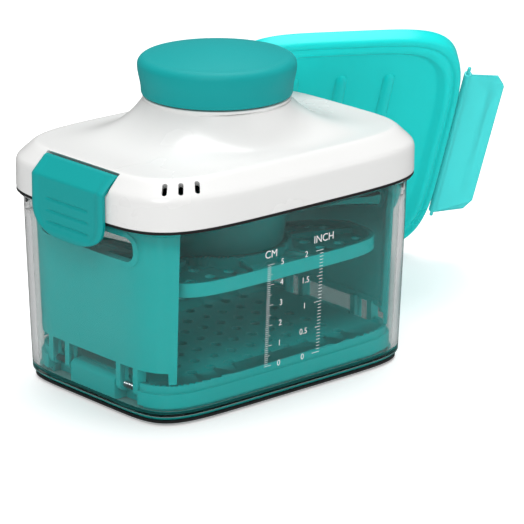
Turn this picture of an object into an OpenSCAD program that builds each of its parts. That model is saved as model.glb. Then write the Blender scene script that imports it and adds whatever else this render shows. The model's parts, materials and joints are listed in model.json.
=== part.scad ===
// Tofu press: clear container, lifting tray with folding ends, screw-driven
// press plate under a white lid with two latches, and a loose storage cover.
// Millimetres, +Z up, origin on the table under the middle of the container.
// -X is the left end (with the latch that faces the viewer), -Y the scale side.

/* [Container] */
// Length of the container wall just under its rim
tub_l = 167.6; // [150:0.2:185]
// Width of the container wall just under its rim
tub_w = 119.8; // [105:0.2:135]
// How much narrower each side of the container is at its base
tub_draft = 4.2; // [2:0.1:6]
// Height of the container from its underside to the rim
tub_h = 95.6; // [85:0.1:105]
// Thickness of the container's clear wall
tub_wall = 2.4; // [1.8:0.1:3]
// Thickness of the container's floor
tub_floor = 2.2; // [2:0.1:4]
// Rounding of the container's bottom edge
tub_round = 3; // [2:0.1:4]
// Squareness of the container's outline at its base
base_power = 6.8; // [5:0.1:8]
// Squareness of the container's outline under its flange
rim_power = 5.4; // [4.6:0.1:6]
// Squareness of the outline of the flange, the rim and the lid
top_power = 4.8; // [4.2:0.1:5.6]
// How far the rim flange stands out from the wall
flange_out = 3.1; // [2.4:0.1:4]
// Thickness of the rim flange
flange_t = 2.1; // [1.6:0.1:3]
// Height of the rim above the flange
rim_h = 4.2; // [3:0.1:6]

/* [Base] */
// Height of the black ring under the container
ring_h = 1.2; // [1:0.1:3]
// Width of the black ring
ring_w = 3; // [2:0.1:6]
// How far the feet reach below the black ring
foot_drop = 1.4; // [0.6:0.1:2.5]
// Radius of each foot
foot_r = 4.5; // [3:0.1:6]

/* [Lifting tray] */
// Height of the tray's deck above the container's floor
deck_h = 11.9; // [9:0.1:16]
// Thickness of the deck and the skirt
tray_t = 2.4; // [1.8:0.1:3]
// Gap between the tray and the container's inner wall
tray_gap = 1.4; // [1:0.1:4]
// Radius of the drain holes in the deck
drain_r = 2.6; // [1.5:0.1:3.5]
// Spacing of the drain holes
drain_pitch = 11.5; // [9:0.1:16]
// Length of the knuckle block at each end
knuckle_l = 32.6; // [24:0.1:36]
// Radius of the flap's hinge pin
hinge_r = 1.5; // [1.2:0.05:2]
// Outer radius of a flap's hinge eyes
eye_r = 3.2; // [2.8:0.1:4]
// Height of the flap's hinge above the container's floor
hinge_h = 8.6; // [6:0.1:10]
// Width of each hinge arm
arm_w = 3.2; // [2.4:0.1:4]
// Place of the inner hinge arm from the middle
arm_inner = 19; // [18:0.1:21]
// Place of the outer hinge arm from the middle
arm_outer = 31.2; // [28:0.1:34]

/* [End flaps] */
// Gap between a flap's top and the level of the lid's lower edge
flap_clear = 0.8; // [0.5:0.1:3]
// Gap between a flap and the container's wall
flap_gap = 2.4; // [2:0.1:3.5]
// Thickness of a flap
flap_t = 2.5; // [1.8:0.1:3]
// How far a flap's sides wrap back round the corner
flap_wrap = 10; // [6:0.1:14]
// Length of the handle slot
slot_l = 68; // [50:0.5:76]
// Height of the handle slot
slot_h = 12.5; // [8:0.1:16]
// Strip of flap above the handle slot
slot_top = 5.3; // [4:0.1:10]
// Height of the raised lip round the handle slot
lip_h = 1.3; // [0.6:0.1:2]
// Width of the raised lip round the handle slot
lip_w = 2.6; // [1.5:0.1:4]

/* [Press plate and column] */
// Gap between the deck and the underside of the press plate
press_gap = 41.9; // [30:0.1:46]
// Length of the press plate
plate_l = 130.4; // [120:0.2:132]
// Width of the press plate
plate_w = 104; // [90:0.2:105]
// Thickness of the plate's floor
plate_t = 2.4; // [1.8:0.1:3]
// Height of the plate's rim
plate_h = 6.6; // [5:0.1:9]
// Radius of the collar on the plate
collar_r = 35; // [34:0.1:38]
// Outer radius of the press column
column_r = 31; // [28:0.1:31.2]
// Wall of the press column
column_wall = 2.2; // [1.8:0.1:3]
// Height of the press column above the plate's floor
column_h = 51; // [46:0.5:52]
// Height of the threaded nut
nut_h = 13; // [10:0.5:14]
// Radius of the nut's flange
nut_r = 15; // [13:0.5:18]

/* [Screw] */
// Root radius of the screw thread
screw_root = 6; // [5:0.1:7]
// Crest radius of the screw thread
screw_crest = 8.2; // [7.6:0.1:9]
// Height the nut travels in one turn
screw_lead = 12; // [8:1:16]
// Clearance between screw and nut
screw_gap = 0.35; // [0.3:0.05:0.5]
// Travel of the press plate downwards
travel_down = 26; // [15:1:26]
// Travel of the press plate upwards
travel_up = 11; // [5:1:11]

/* [Lid] */
// Length of the lid's skirt
lid_l = 175.4; // [165:0.2:190]
// Width of the lid's skirt
lid_w = 127; // [118:0.2:140]
// Thickness of the lid's shell
lid_wall = 2.3; // [1.8:0.1:2.8]
// Height of the skirt up to the crease
skirt_h = 15.9; // [12:0.1:20]
// How far the shoulder slopes inwards
shoulder_in = 7.5; // [6:0.1:9]
// Height of the sloping shoulder
shoulder_h = 6.7; // [5:0.1:8]
// Height from the shoulder to the top of the neck
neck_h = 18.2; // [15:0.1:22]
// Radius of the lid's neck
neck_r = 35; // [34.4:0.1:38]
// Steepness of the curve from the shoulder to the neck
dome_power = 3.6; // [2.5:0.1:4.5]
// Thickness of the lid's liner plate
liner_t = 2.2; // [1.6:0.1:3]
// Thickness of the sealing ring
gasket_t = 1.4; // [1:0.1:2]

/* [Knob] */
// Radius of the knob at its widest
knob_r = 37.5; // [36:0.1:40]
// Radius of the knob at its waist
waist_r = 35.8; // [34.8:0.1:37]
// Height of the knob
knob_h = 22.3; // [18:0.1:28]
// Height of the domed crown above the knob's shoulder
crown_h = 4.4; // [2:0.1:6]
// Thickness of the soft cover
grip_t = 2.4; // [1.6:0.1:3.4]

/* [Latches] */
// Width of a latch
latch_w = 52; // [44:0.5:58]
// Thickness of a latch
latch_t = 2.1; // [1.6:0.1:2.6]
// Distance from the latch's hinge down to its lowest point
latch_drop = 32.8; // [28:0.1:38]
// Radius of the latch's hinge barrel
barrel_r = 2.6; // [2.2:0.1:3]
// Radius of the latch's hinge pin
latch_pin_r = 1.1; // [0.8:0.05:1.3]
// Length of the finger grooves
groove_l = 30; // [20:0.5:36]
// Spacing of the finger grooves
groove_pitch = 5.6; // [4:0.1:7]

/* [Storage cover] */
// Height of the storage cover's edge
cover_h = 9; // [7:0.1:12]
// Wall of the storage cover
cover_t = 1.9; // [1.5:0.1:2.4]
// Width of the raised rim
cover_rim = 9; // [6:0.1:12]
// Depth of the recessed panel
cover_dip = 3; // [2:0.1:4]
// Length of the storage cover's clips
clip_l = 112; // [90:1:120]
// Width of the storage cover's clips
clip_w = 20; // [15:0.5:24]
// Angle at which the storage cover leans towards the press
cover_lean = 36; // [28:0.5:40]
// Turn of the leaning storage cover about the vertical
cover_yaw = -30.3; // [-40:0.1:-20]
// How far the storage cover stands to the right of where it faces the lid's middle
cover_aside = 78; // [70:0.5:84]

/* [Hidden] */
$fn = 64;

teal = [0, 0.64, 0.62];
deep_teal = [0, 0.5, 0.49];
clear = [0.86, 0.93, 0.93, 0.35];
white = [0.95, 0.95, 0.95];
aqua = [0.2, 0.87, 0.85, 0.8];
black = [0.05, 0.05, 0.05];
steel = [0.75, 0.76, 0.78];
pale = [0.85, 0.85, 0.83];

around = 72;              // points round each outline
fit_gap = 0.3;            // gap between pieces that seat on each other
running = 0.06;           // radial gap between a pin and its hole
cut = 0.5;                // how far a cutting solid reaches past what it cuts

// heights from the table up
ring_z = foot_drop;
tub_z = ring_z + ring_h;
floor_z = tub_z + tub_floor;
rim_z = tub_z + tub_h;
flange_top = rim_z - rim_h;
flange_z = flange_top - flange_t;
deck_z = floor_z + deck_h;
hinge_z = floor_z + hinge_h;
plate_z = deck_z + press_gap;
plate_top = plate_z + plate_t;
lid_z = flange_top + 0.4;
crease_z = lid_z + skirt_h;
shoulder_z = crease_z + shoulder_h;
neck_z = shoulder_z + neck_h;
liner_z = rim_z + gasket_t;
knob_z = neck_z + 0.8;

// half sizes of the container's outline at a height, outside or some way inside the wall
function rise(z) = max(0, min(1, (z - tub_z) / (flange_z - tub_z)));
function half_l(z, inset = 0) = tub_l / 2 - tub_draft * (1 - rise(z)) - inset;
function half_w(z, inset = 0) = tub_w / 2 - tub_draft * (1 - rise(z)) - inset;
function wall_power(z) = base_power + (rim_power - base_power) * rise(z);
function squareness(z) = z > flange_z ? top_power : wall_power(z);

// an outline with bowed sides and big soft corners, and its place along a ring
function soft(v, power) = sign(v) * pow(abs(v), 2 / power);
function oval(a, b, power) = [for (i = [0:around - 1])
    let (t = 360 * (i + 0.5) / around) [a * soft(cos(t), power), b * soft(sin(t), power)]];
function tub_ring(z, inset) = [oval(half_l(z, inset), half_w(z, inset), squareness(z)), z];

// a solid lofted through rings that each lie flat at one height
module loft(rings) {
    n = len(rings[0][0]);
    last = (len(rings) - 1) * n;
    points = [for (r = rings) for (q = r[0]) [q[0], q[1], r[1]]];
    sides = [for (j = [0:len(rings) - 2]) for (i = [0:n - 1])
        let (k = (i + 1) % n) [j * n + i, (j + 1) * n + i, (j + 1) * n + k, j * n + k]];
    ends = [[for (i = [0:n - 1]) i], [for (i = [n - 1:-1:0]) last + i]];
    polyhedron(points, concat(sides, ends), convexity = 8);
}

// the same with the last ring joined to the first, for a shell that is open at both ends
module loft_loop(rings) {
    n = len(rings[0][0]);
    m = len(rings);
    points = [for (r = rings) for (q = r[0]) [q[0], q[1], r[1]]];
    sides = [for (j = [0:m - 1]) for (i = [0:n - 1])
        let (k = (i + 1) % n, up = (j + 1) % m) [j * n + i, up * n + i, up * n + k, j * n + k]];
    polyhedron(points, sides, convexity = 8);
}

module oval_slab(a, b, power, z, h) {
    translate([0, 0, z]) linear_extrude(h) polygon(oval(a, b, power));
}

module oval_band(a, b, power, w, z, h) {
    translate([0, 0, z]) linear_extrude(h) difference() {
        polygon(oval(a, b, power));
        polygon(oval(a - w, b - w, power));
    }
}

// a block centred on X and Y that stands on a height
module block(l, w, z, h) {
    translate([-l / 2, -w / 2, z]) cube([l, w, h]);
}

module hole(r, z, h) {
    translate([0, 0, z]) cylinder(r = r, h = h);
}

// a copy at the left end and, mirrored, at the right end
module at_left() children();
module at_right() mirror([1, 0, 0]) children();

// ---------------------------------------------------------------- container
round_steps = 4;
flange_blend = 0.5;       // soft edge of the flange
collar_in = 0.8;          // the rim above the flange starts this far outside the wall

module container_body() color(clear) {
    bottom = [for (i = [0:round_steps]) let (t = 90 * i / round_steps)
        tub_ring(tub_z + tub_round * (1 - cos(t)), tub_round * (1 - sin(t)))];
    inner_round = tub_round;
    inner_bottom = [for (i = [round_steps:-1:0]) let (t = 90 * i / round_steps)
        tub_ring(floor_z + inner_round * (1 - cos(t)), tub_wall + inner_round * (1 - sin(t)))];
    loft(concat(bottom, [
        tub_ring(flange_z, 0),
        tub_ring(flange_z + flange_blend, flange_blend - flange_out),
        tub_ring(flange_z + 2 * flange_blend, -flange_out),
        tub_ring(flange_top - flange_blend, -flange_out),
        tub_ring(flange_top, flange_blend - flange_out),
        tub_ring(flange_top + 0.01, -collar_in),
        tub_ring(rim_z - flange_blend, -collar_in),
        tub_ring(rim_z, flange_blend - collar_in),
        tub_ring(rim_z + 0.01, tub_wall - collar_in - flange_blend),
        tub_ring(rim_z - flange_blend, tub_wall - collar_in),
        tub_ring(flange_top, tub_wall - collar_in),
        tub_ring(flange_z, tub_wall)], inner_bottom));
}

ring_in = 1;              // the black ring starts this far inside the container's base

module base_ring() color(black)
    oval_band(half_l(tub_z, ring_in), half_w(tub_z, ring_in), base_power, ring_w, ring_z, ring_h);

foot_in = foot_r + ring_in + ring_w + 1;   // from the base outline to a foot's centre
foot_x = half_l(tub_z) * 0.87 - foot_in / sqrt(2);
foot_y = half_w(tub_z) * 0.87 - foot_in / sqrt(2);

foot_edge = 0.6;          // soft lower edge of a foot

module foot() {
    cylinder(r1 = foot_r - foot_edge, r2 = foot_r, h = foot_edge);
    hole(foot_r, foot_edge, tub_z - foot_edge);
}

// one foot near each corner and one in the middle, under the screw
module rubber_feet() color(pale) {
    foot();
    for (sx = [-1, 1], sy = [-1, 1]) translate([sx * foot_x, sy * foot_y, 0]) foot();
}

// -------------------------------------------------------------- lifting tray
tray_a = half_l(floor_z + tub_round, tub_wall + tray_gap);
tray_b = half_w(floor_z + tub_round, tub_wall + tray_gap);
tray_z = floor_z + fit_gap;
tray_rim = 1;             // low lip round the deck's long sides
plinth_in = 3;            // the tray's foot is set in from its side
plinth_h = 2.6;
step_in = 1.2;            // and so is the top of its side
step_h = 2.5;
hinge_x = tray_a - eye_r - 0.8;            // hinge line from the middle
end_wall = hinge_x - eye_r - 0.5;          // face of the tray behind the hinge
notch = arm_outer + arm_w / 2 + fit_gap;   // half width of the hinge bay
pin_l = 2 * (notch + 3);

module hinge_bays() for (s = [-1, 1])
    translate([s * (end_wall + 10), 0, tray_z - cut])
        translate([-10, -notch, 0]) cube([20, 2 * notch, deck_h + 2 * cut + tray_rim]);

module knuckle_block() translate([0, knuckle_l / 2, 0]) rotate([90, 0, 0]) linear_extrude(knuckle_l)
    difference() {
        union() {
            translate([hinge_x, hinge_z]) circle(eye_r);
            translate([end_wall - cut, tray_z]) square([hinge_x - end_wall + cut + eye_r, hinge_z - tray_z]);
            translate([end_wall - cut, tray_z]) square([hinge_x - end_wall + cut, hinge_z + eye_r - tray_z]);
        }
        translate([hinge_x, hinge_z]) circle(hinge_r + running);
    }

drain_cols = floor((end_wall - 12) / drain_pitch);
drain_rows = floor((tray_b - 10) / drain_pitch);

module lifting_tray() color(teal) {
    difference() {
        union() {
            oval_slab(tray_a - plinth_in, tray_b - plinth_in, base_power, tray_z, plinth_h + cut);
            oval_slab(tray_a, tray_b, base_power, tray_z + plinth_h, deck_z - step_h - tray_z - plinth_h);
            oval_slab(tray_a - step_in, tray_b - step_in, base_power, deck_z - step_h - cut, step_h + cut);
            oval_band(tray_a - step_in, tray_b - step_in, base_power, tray_t, deck_z - cut, tray_rim + cut);
        }
        difference() {
            oval_slab(tray_a - plinth_in - tray_t, tray_b - plinth_in - tray_t, base_power, tray_z - cut,
                deck_z - tray_t - tray_z + cut);
            for (s = [-1, 1]) translate([s * (end_wall + 8 - tray_t), 0, 0])
                block(16, 2 * tray_b, tray_z - cut, deck_h);
        }
        hinge_bays();
        for (s = [-1, 1]) translate([s * hinge_x, 0, hinge_z]) rotate([90, 0, 0])
            cylinder(r = hinge_r + running, h = pin_l + running, center = true);
        for (i = [-drain_cols:drain_cols], j = [-drain_rows:drain_rows])
            translate([i * drain_pitch, j * drain_pitch, 0])
                hole(drain_r, deck_z - tray_t - cut, tray_t + 2 * cut);
    }
    for (s = [-1, 1]) scale([s, 1, 1]) knuckle_block();
}

module hinge_pin() color(steel) translate([-hinge_x, 0, hinge_z]) rotate([90, 0, 0])
    cylinder(r = hinge_r, h = pin_l, center = true);

// ----------------------------------------------------------------- end flaps
flap_top = lid_z - flap_clear;
flap_foot = deck_z + tray_rim + 1.2;       // lowest edge of the flap's two sides
panel_z = flap_foot + 5.5;                 // underside of the bar between the sides
side_y = 46;              // the sides start this far from the middle
slot_z = flap_top - slot_top - slot_h;
lip_out = 0.8;            // the slot's lip also stands out on the outside
bead_h = 3;               // thicker bars along the flap's top and bottom
bead_out = 0.9;

module slot_outline(grow) {
    r = slot_h / 2 - 1.5 + grow;
    hull() for (sy = [-1, 1], sz = [-1, 1])
        translate([sy * (slot_l / 2 + grow - r), slot_z + slot_h / 2 + sz * (slot_h / 2 + grow - r)])
            circle(r, $fn = 24);
}

// turns a YZ outline into a solid along X
module along_x(x, l) translate([x, 0, 0]) rotate([90, 0, 90]) linear_extrude(l) children();

module flap_arm(y) translate([0, y + arm_w / 2, 0]) rotate([90, 0, 0]) linear_extrude(arm_w)
    difference() {
        union() {
            translate([-hinge_x, hinge_z]) circle(eye_r);
            translate([-hinge_x - eye_r, hinge_z])
                square([2 * eye_r - 1.4, panel_z + bead_h / 2 - hinge_z]);
        }
        translate([-hinge_x, hinge_z]) circle(hinge_r + running);
    }

// the flap leans with the container's wall, a steady gap inside it
function flap_ring(z, inset) = let (in = tub_wall + flap_gap + inset)
    [oval(half_l(z, in), half_w(z, in), wall_power(z)), z];

module flap_shell(z0, z1, outer, inner) difference() {
    loft([flap_ring(z0, outer), flap_ring(z1, outer)]);
    loft([flap_ring(z0 - cut, inner), flap_ring(z1 + cut, inner)]);
}

// a thicker bar along the inside of the flap
module flap_bar(z) {
    at = tub_wall + flap_gap + flap_t / 2;
    oval_band(half_l(z, at), half_w(z, at), wall_power(z), flap_t / 2 + bead_out, z, bead_h);
}

module end_flap() color(teal) {
    flap_in = half_l(flap_foot, tub_wall + flap_gap) - flap_wrap;
    difference() {
        union() {
            intersection() {
                union() {
                    flap_shell(flap_foot, flap_top, 0, flap_t);
                    flap_bar(panel_z);
                    flap_bar(flap_top - bead_h);
                }
                translate([-tub_l / 2, -tub_w / 2, 0]) cube([tub_l / 2 - flap_in, tub_w, flap_top + cut]);
            }
            intersection() {
                flap_shell(slot_z - 2 * lip_w, flap_top, -lip_out, flap_t + lip_h);
                along_x(-tub_l / 2, tub_l / 2 - flap_in) slot_outline(lip_w);
            }
        }
        along_x(-tub_l / 2, tub_l / 2 - flap_in + cut) slot_outline(0);
        translate([-tub_l / 2, -side_y, 0]) cube([tub_l / 2 - flap_in + cut, 2 * side_y, panel_z]);
    }
    for (s = [-1, 1]) {
        flap_arm(s * arm_inner);
        flap_arm(s * arm_outer);
    }
}

// -------------------------------------------------------- press plate, column
rib_n = 8;
key_w = 5;
key_out = 1.4;
plate_power = 6;
boss_at = column_r - column_wall - 3;     // the column's screw bosses
boss_r = 3.4;
fixing_r = 1.5;           // shank of the small fixing screws
head_r = 2.8;
head_h = 1.8;
boss_h = 12;              // height of the column's screw bosses
screw_reach = 8;          // how far the screws go up into them

module plate_drains() for (i = [-5:5], j = [-4:4])
    translate([i * drain_pitch, j * drain_pitch, 0])
        if (norm([i * drain_pitch, j * drain_pitch]) > collar_r + drain_r + 1.5
            && abs(i) * drain_pitch < plate_l / 2 - 7 && abs(j) * drain_pitch < plate_w / 2 - 6)
            hole(drain_r, plate_z - cut, plate_t + 2 * cut);

module press_plate() color(teal) difference() {
    union() {
        oval_slab(plate_l / 2, plate_w / 2, plate_power, plate_z, plate_t);
        oval_band(plate_l / 2, plate_w / 2, plate_power, tray_t, plate_z, plate_h);
        difference() {
            hole(collar_r, plate_z, plate_h);
            hole(column_r + 0.1, plate_top, plate_h);
        }
        intersection() {
            for (k = [0:rib_n - 1]) rotate([0, 0, 22.5 + 360 * k / rib_n])
                translate([collar_r - 1, -1, plate_z + cut]) cube([plate_l / 2, 2, plate_h - 1.6 - cut]);
            oval_slab(plate_l / 2 - 1, plate_w / 2 - 1, plate_power, plate_z, plate_h);
        }
    }
    plate_drains();
    for (k = [0:3]) rotate([0, 0, 45 + 90 * k]) translate([boss_at, 0, 0]) {
        hole(fixing_r + 0.15, plate_z - cut, plate_t + 2 * cut);
        hole(head_r + 0.2, plate_z - cut, cut + head_h / 2);
    }
}

column_top = plate_top + column_h;
web_t = 3;

module press_column() color(deep_teal) difference() {
    union() {
        difference() {
            hole(column_r, plate_top, column_h);
            hole(column_r - column_wall, plate_top - cut, column_h + 2 * cut);
        }
        hole(column_r - column_wall + cut, column_top - nut_h / 2 - web_t / 2, web_t);
        for (k = [0:3]) rotate([0, 0, 45 + 90 * k]) translate([boss_at, 0, 0])
            hole(boss_r, plate_top, boss_h);
        for (s = [-1, 1]) translate([s * column_r, 0, 0])
            block(2 * key_out, key_w, plate_z + plate_h + 1, column_top - plate_z - plate_h - 1);
    }
    hole(nut_r - 3 + 0.1, plate_top, column_h);
    for (k = [0:3]) rotate([0, 0, 45 + 90 * k]) translate([boss_at, 0, 0])
        hole(fixing_r, plate_top - cut, screw_reach + 1 + cut);
}

// a star of rounded lobes whose twist makes a coarse two-start thread, falling clockwise
thread_points = 26;       // points round the thread's section
function thread_outline(root, crest) = [for (i = [0:thread_points - 1]) let (t = 360 * i / thread_points,
    lift = pow(max(0, 0.5 + 0.5 * cos(2 * t)), 1.5), r = root + (crest - root) * lift)
    [r * cos(t), r * sin(t)]];
thread_sections = 15;     // slices of the thread in one turn

module thread(root, crest, z0, z1) {
    turns = (z1 - z0) / screw_lead;
    rotate([0, 0, -360 * z0 / screw_lead]) translate([0, 0, z0])
        linear_extrude(z1 - z0, twist = 360 * turns, slices = ceil(turns * thread_sections))
            polygon(thread_outline(root, crest));
}

module press_nut() color(pale) difference() {
    union() {
        hole(nut_r - 3, column_top - nut_h, nut_h);
        hole(nut_r, column_top - nut_h / 2 + web_t / 2, nut_h / 2 - web_t / 2);
    }
    thread(screw_root + screw_gap, screw_crest + screw_gap, column_top - nut_h - cut, column_top + cut);
}

module column_screws() color(steel) for (k = [0:3])
    rotate([0, 0, 45 + 90 * k]) translate([boss_at, 0, 0]) {
        hole(fixing_r, plate_z + head_h / 2 - 0.01, plate_t - head_h / 2 + screw_reach);
        hole(head_r, plate_z + 0.1, head_h / 2 - 0.1);
    }

// ------------------------------------------------------------ spindle, knob
deck_t = 3;               // bearing deck inside the lid's neck
bearing_z = neck_z - 3.4 - deck_t;         // underside of the bearing deck
washer_t = 0.8;
flange_r = 12;
flange_h = 3;
thrust_z = bearing_z - washer_t - 0.1;     // top of the spindle's thrust flange
thread_top = thrust_z - flange_h;
thread_end = max(plate_top + travel_up + 1, column_top - nut_h - travel_down);
journal_r = 7.9;
square_w = 9;             // across the flats of the driving square
square_z = bearing_z + deck_t + 0.6;
square_top = knob_z + 11;

module spindle() color(steel) difference() {
    union() {
        thread(screw_root, screw_crest, thread_end, thread_top + 0.2);
        hole(screw_root + 0.02, thread_end, 0.8);
        hole(flange_r, thread_top, flange_h);
        hole(journal_r, thrust_z - 0.01, square_z - thrust_z + 0.01);
        block(square_w, square_w, square_z - 0.01, square_top - square_z + 0.01);
    }
    hole(1.6, square_top - 12, 12 + cut);
}

module thrust_washer() color(pale) difference() {
    hole(flange_r - 0.4, thrust_z + 0.05, washer_t);
    hole(journal_r + 0.15, thrust_z - cut, washer_t + 2 * cut);
}

core_r = waist_r - grip_t - 0.1;
core_top = knob_z + knob_h - crown_h - grip_t - 1.2;
core_t = 2.2;
socket_r = 10;

module knob_core() color(white) difference() {
    union() {
        difference() {
            hole(core_r, knob_z + 0.1, core_top - knob_z - 0.1);
            hole(core_r - core_t, knob_z - cut, core_top - core_t - knob_z + cut);
        }
        hole(socket_r, knob_z - 2.2, core_top - knob_z + 2.2);
        for (k = [0:5]) rotate([0, 0, 60 * k]) translate([socket_r - 1, -1, knob_z + 4])
            cube([core_r - socket_r, 2, core_top - knob_z - 5]);
    }
    block(square_w + 0.12, square_w + 0.12, knob_z - 3, square_top - knob_z + 3.1);
    hole(1.8, square_top, core_top - square_top + cut);
    hole(4.2, core_top - 1.4, 1.4 + cut);
}

grip_top = knob_z + knob_h;
crown_base = grip_top - crown_h;
widest_z = knob_z + knob_h * 0.62;
crown_curve = 33;         // radius where the crown meets the rounded edge

// half outline of the knob, from its lower edge up to the middle of the crown
function knob_side(n) = concat(
    [[waist_r - 0.5, knob_z], [waist_r - 0.1, knob_z + 0.5]],
    [for (i = [0:n]) let (t = i / n, z = knob_z + 1.5 + (widest_z - knob_z - 1.5) * t)
        [waist_r + (knob_r - waist_r) * (1 - cos(180 * t)) / 2, z]],
    [for (i = [1:n]) let (t = 90 * i / n)
        [crown_curve + (knob_r - crown_curve) * cos(t), widest_z + (crown_base - widest_z) * sin(t)]],
    [for (i = [1:n]) let (x = crown_curve * (1 - i / n))
        [x, crown_base + crown_h * (1 - pow(x / crown_curve, 2))]]);

module knob_grip() color(teal) difference() {
    rotate_extrude($fn = 96) polygon(concat([[0, knob_z]], knob_side(8)));
    hole(core_r + 0.05, knob_z - cut, core_top - knob_z + cut + 0.05);
}

module knob_screw() color(steel) {
    hole(1.55, square_top - 9, core_top - 1.3 - square_top + 9);
    hole(4, core_top - 1.35, 1.3);
}

module bearing_ring() color(pale) difference() {
    union() {
        hole(neck_r - lid_wall - 2, bearing_z + deck_t + 0.02, 1);
        hole(neck_r - lid_wall - 0.9, bearing_z + deck_t + 0.7, knob_z - bearing_z - deck_t - 0.73);
    }
    hole(neck_r - lid_wall - 4, bearing_z, knob_z - bearing_z + cut);
}

// --------------------------------------------------------------------- lid
function lid_ring(z, inset) = [oval(lid_l / 2 - inset, lid_w / 2 - inset, top_power), z];

// between the shoulder and the neck each ring is a blend of the outline and a circle
function dome_ring(t, inset) = let (
    edge = oval(lid_l / 2 - shoulder_in - inset, lid_w / 2 - shoulder_in - inset, top_power),
    r = neck_r - inset)
    [[for (q = edge) (1 - t) * q + t * r * q / norm(q)],
        shoulder_z + (neck_z - 2 - shoulder_z) * pow(t, dome_power) - inset * (1 - t * t)];

dome_steps = [0.12, 0.3, 0.45, 0.58, 0.68, 0.76, 0.83, 0.89, 0.94, 0.98];

lid_outside = concat([
    lid_ring(lid_z, 0.3), lid_ring(lid_z + 0.6, 0), lid_ring(crease_z - 3.2, 0.05),
    lid_ring(crease_z - 1.8, 0.35), lid_ring(crease_z - 0.7, 0.85), lid_ring(crease_z + 0.3, 1.6),
    lid_ring(shoulder_z - 1.3, shoulder_in - 1.2), lid_ring(shoulder_z - 0.4, shoulder_in - 0.1)],
    [for (t = dome_steps) dome_ring(t, 0)],
    [[[for (q = oval(neck_r, neck_r, 2)) q], neck_z - 1], [oval(neck_r, neck_r, 2), neck_z]]);

lid_inside = concat([
    [oval(neck_r - lid_wall, neck_r - lid_wall, 2), neck_z],
    [oval(neck_r - lid_wall, neck_r - lid_wall, 2), neck_z - 2.4]],
    [for (i = [len(dome_steps) - 1:-1:0]) dome_ring(dome_steps[i], lid_wall)],
    [lid_ring(shoulder_z - lid_wall - 1, shoulder_in + lid_wall - 0.6),
        lid_ring(crease_z - lid_wall + 0.6, lid_wall + 1.4), lid_ring(crease_z - 4, lid_wall),
        lid_ring(lid_z, lid_wall)]);

// the latch's hinge, as distances from the middle and from the table
slope = atan2(shoulder_h, shoulder_in - 0.5);
crease_u = lid_l / 2 - 0.5;
hinge_sink = 2.1;         // depth of the latch's hinge under the shoulder
hinge_along = 6.1;        // from the crease up the slope to the latch's hinge
latch_u = crease_u - hinge_along * cos(slope) - hinge_sink * sin(slope);
latch_z = crease_z + hinge_along * sin(slope) - hinge_sink * cos(slope);
latch_out = lid_l / 2 + 0.4 + latch_t;     // outer face of the hanging latch
pocket_gap = 0.4;
cheek = 4;                // lid material each side that holds the latch's pin

module latch_pocket() {
    w = latch_w + 2 * pocket_gap;
    translate([0, w / 2, 0]) rotate([90, 0, 0]) linear_extrude(w)
        translate([-latch_u, latch_z]) {
            circle(barrel_r + pocket_gap);
            rotate(slope) translate([-14, -0.1]) square([14 + barrel_r + 0.6, 9]);
        }
}

module latch_backing() {
    w = latch_w + 2 * (pocket_gap + cheek);
    translate([0, w / 2, 0]) rotate([90, 0, 0]) linear_extrude(w)
        translate([-latch_u, latch_z]) rotate(slope)
            translate([-3.4, -barrel_r - 2]) square([2 * barrel_r + 3.2, barrel_r + 1.4]);
}

module latch_pin_hole() translate([-latch_u, 0, latch_z]) rotate([90, 0, 0])
    cylinder(r = latch_pin_r + 0.03, h = latch_w + 2 * (pocket_gap + cheek - 1), center = true);

slot_len = 6.6;
slot_w = 2.3;
slot_at = [42, 53, 63];   // where the slots lie round the corner
slot_foot = 1.6;          // inset of the slope's lower and upper edges
slot_head = 6.3;

function corner_at(t, inset) = [-(lid_l / 2 - inset) * pow(cos(t), 2 / top_power),
    -(lid_w / 2 - inset) * pow(sin(t), 2 / top_power)];

// three pouring slots fanned round one corner of the shoulder
module pouring_slots() for (t = slot_at) {
    foot = corner_at(t, slot_foot);
    head = corner_at(t, slot_head);
    translate([(foot[0] + head[0]) / 2, (foot[1] + head[1]) / 2, crease_z + shoulder_h * 0.43])
        rotate([0, 0, atan2(foot[1] - head[1], foot[0] - head[0])]) rotate([0, slope, 0]) {
            translate([0, 0, -5]) {
                translate([-(slot_len - slot_w) / 2, -slot_w / 2, 0]) cube([slot_len - slot_w, slot_w, 10]);
                for (e = [-1, 1]) translate([e * (slot_len - slot_w) / 2, 0, 0])
                    cylinder(r = slot_w / 2, h = 10);
            }
        }
}

post_x = 56;              // the liner's screws
post_y = 33;
post_r = 4;

module liner_posts() for (sx = [-1, 1], sy = [-1, 1])
    translate([sx * post_x, sy * post_y, 0])
        hole(post_r, liner_z + liner_t, shoulder_z - liner_z - liner_t - 1);

module lid_shell() color(white) difference() {
    union() {
        loft_loop(concat(lid_outside, lid_inside));
        hole(neck_r - lid_wall + 0.7, bearing_z, deck_t);
        liner_posts();
        at_left() latch_backing();
        at_right() latch_backing();
    }
    hole(journal_r + running, bearing_z - cut, deck_t + 2 * cut);
    for (sx = [-1, 1], sy = [-1, 1]) translate([sx * post_x, sy * post_y, 0])
        hole(fixing_r - 0.1, liner_z, 8);
    at_left() {
        latch_pocket();
        latch_pin_hole();
    }
    at_right() {
        latch_pocket();
        latch_pin_hole();
    }
    pouring_slots();
}

liner_a = lid_l / 2 - lid_wall - 0.5;
liner_b = lid_w / 2 - lid_wall - 0.5;
guide_drop = 11;          // how far the guide collar hangs below the liner
guide_gap = 0.3;
vent_r = 2;               // three vents in the liner under the pouring slots
vent_at = [-64, -38];     // the first vent, and the step to the next
vent_step = [7, -2];
liner_screw_reach = 5;    // how far the liner's screws go up into their posts

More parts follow.
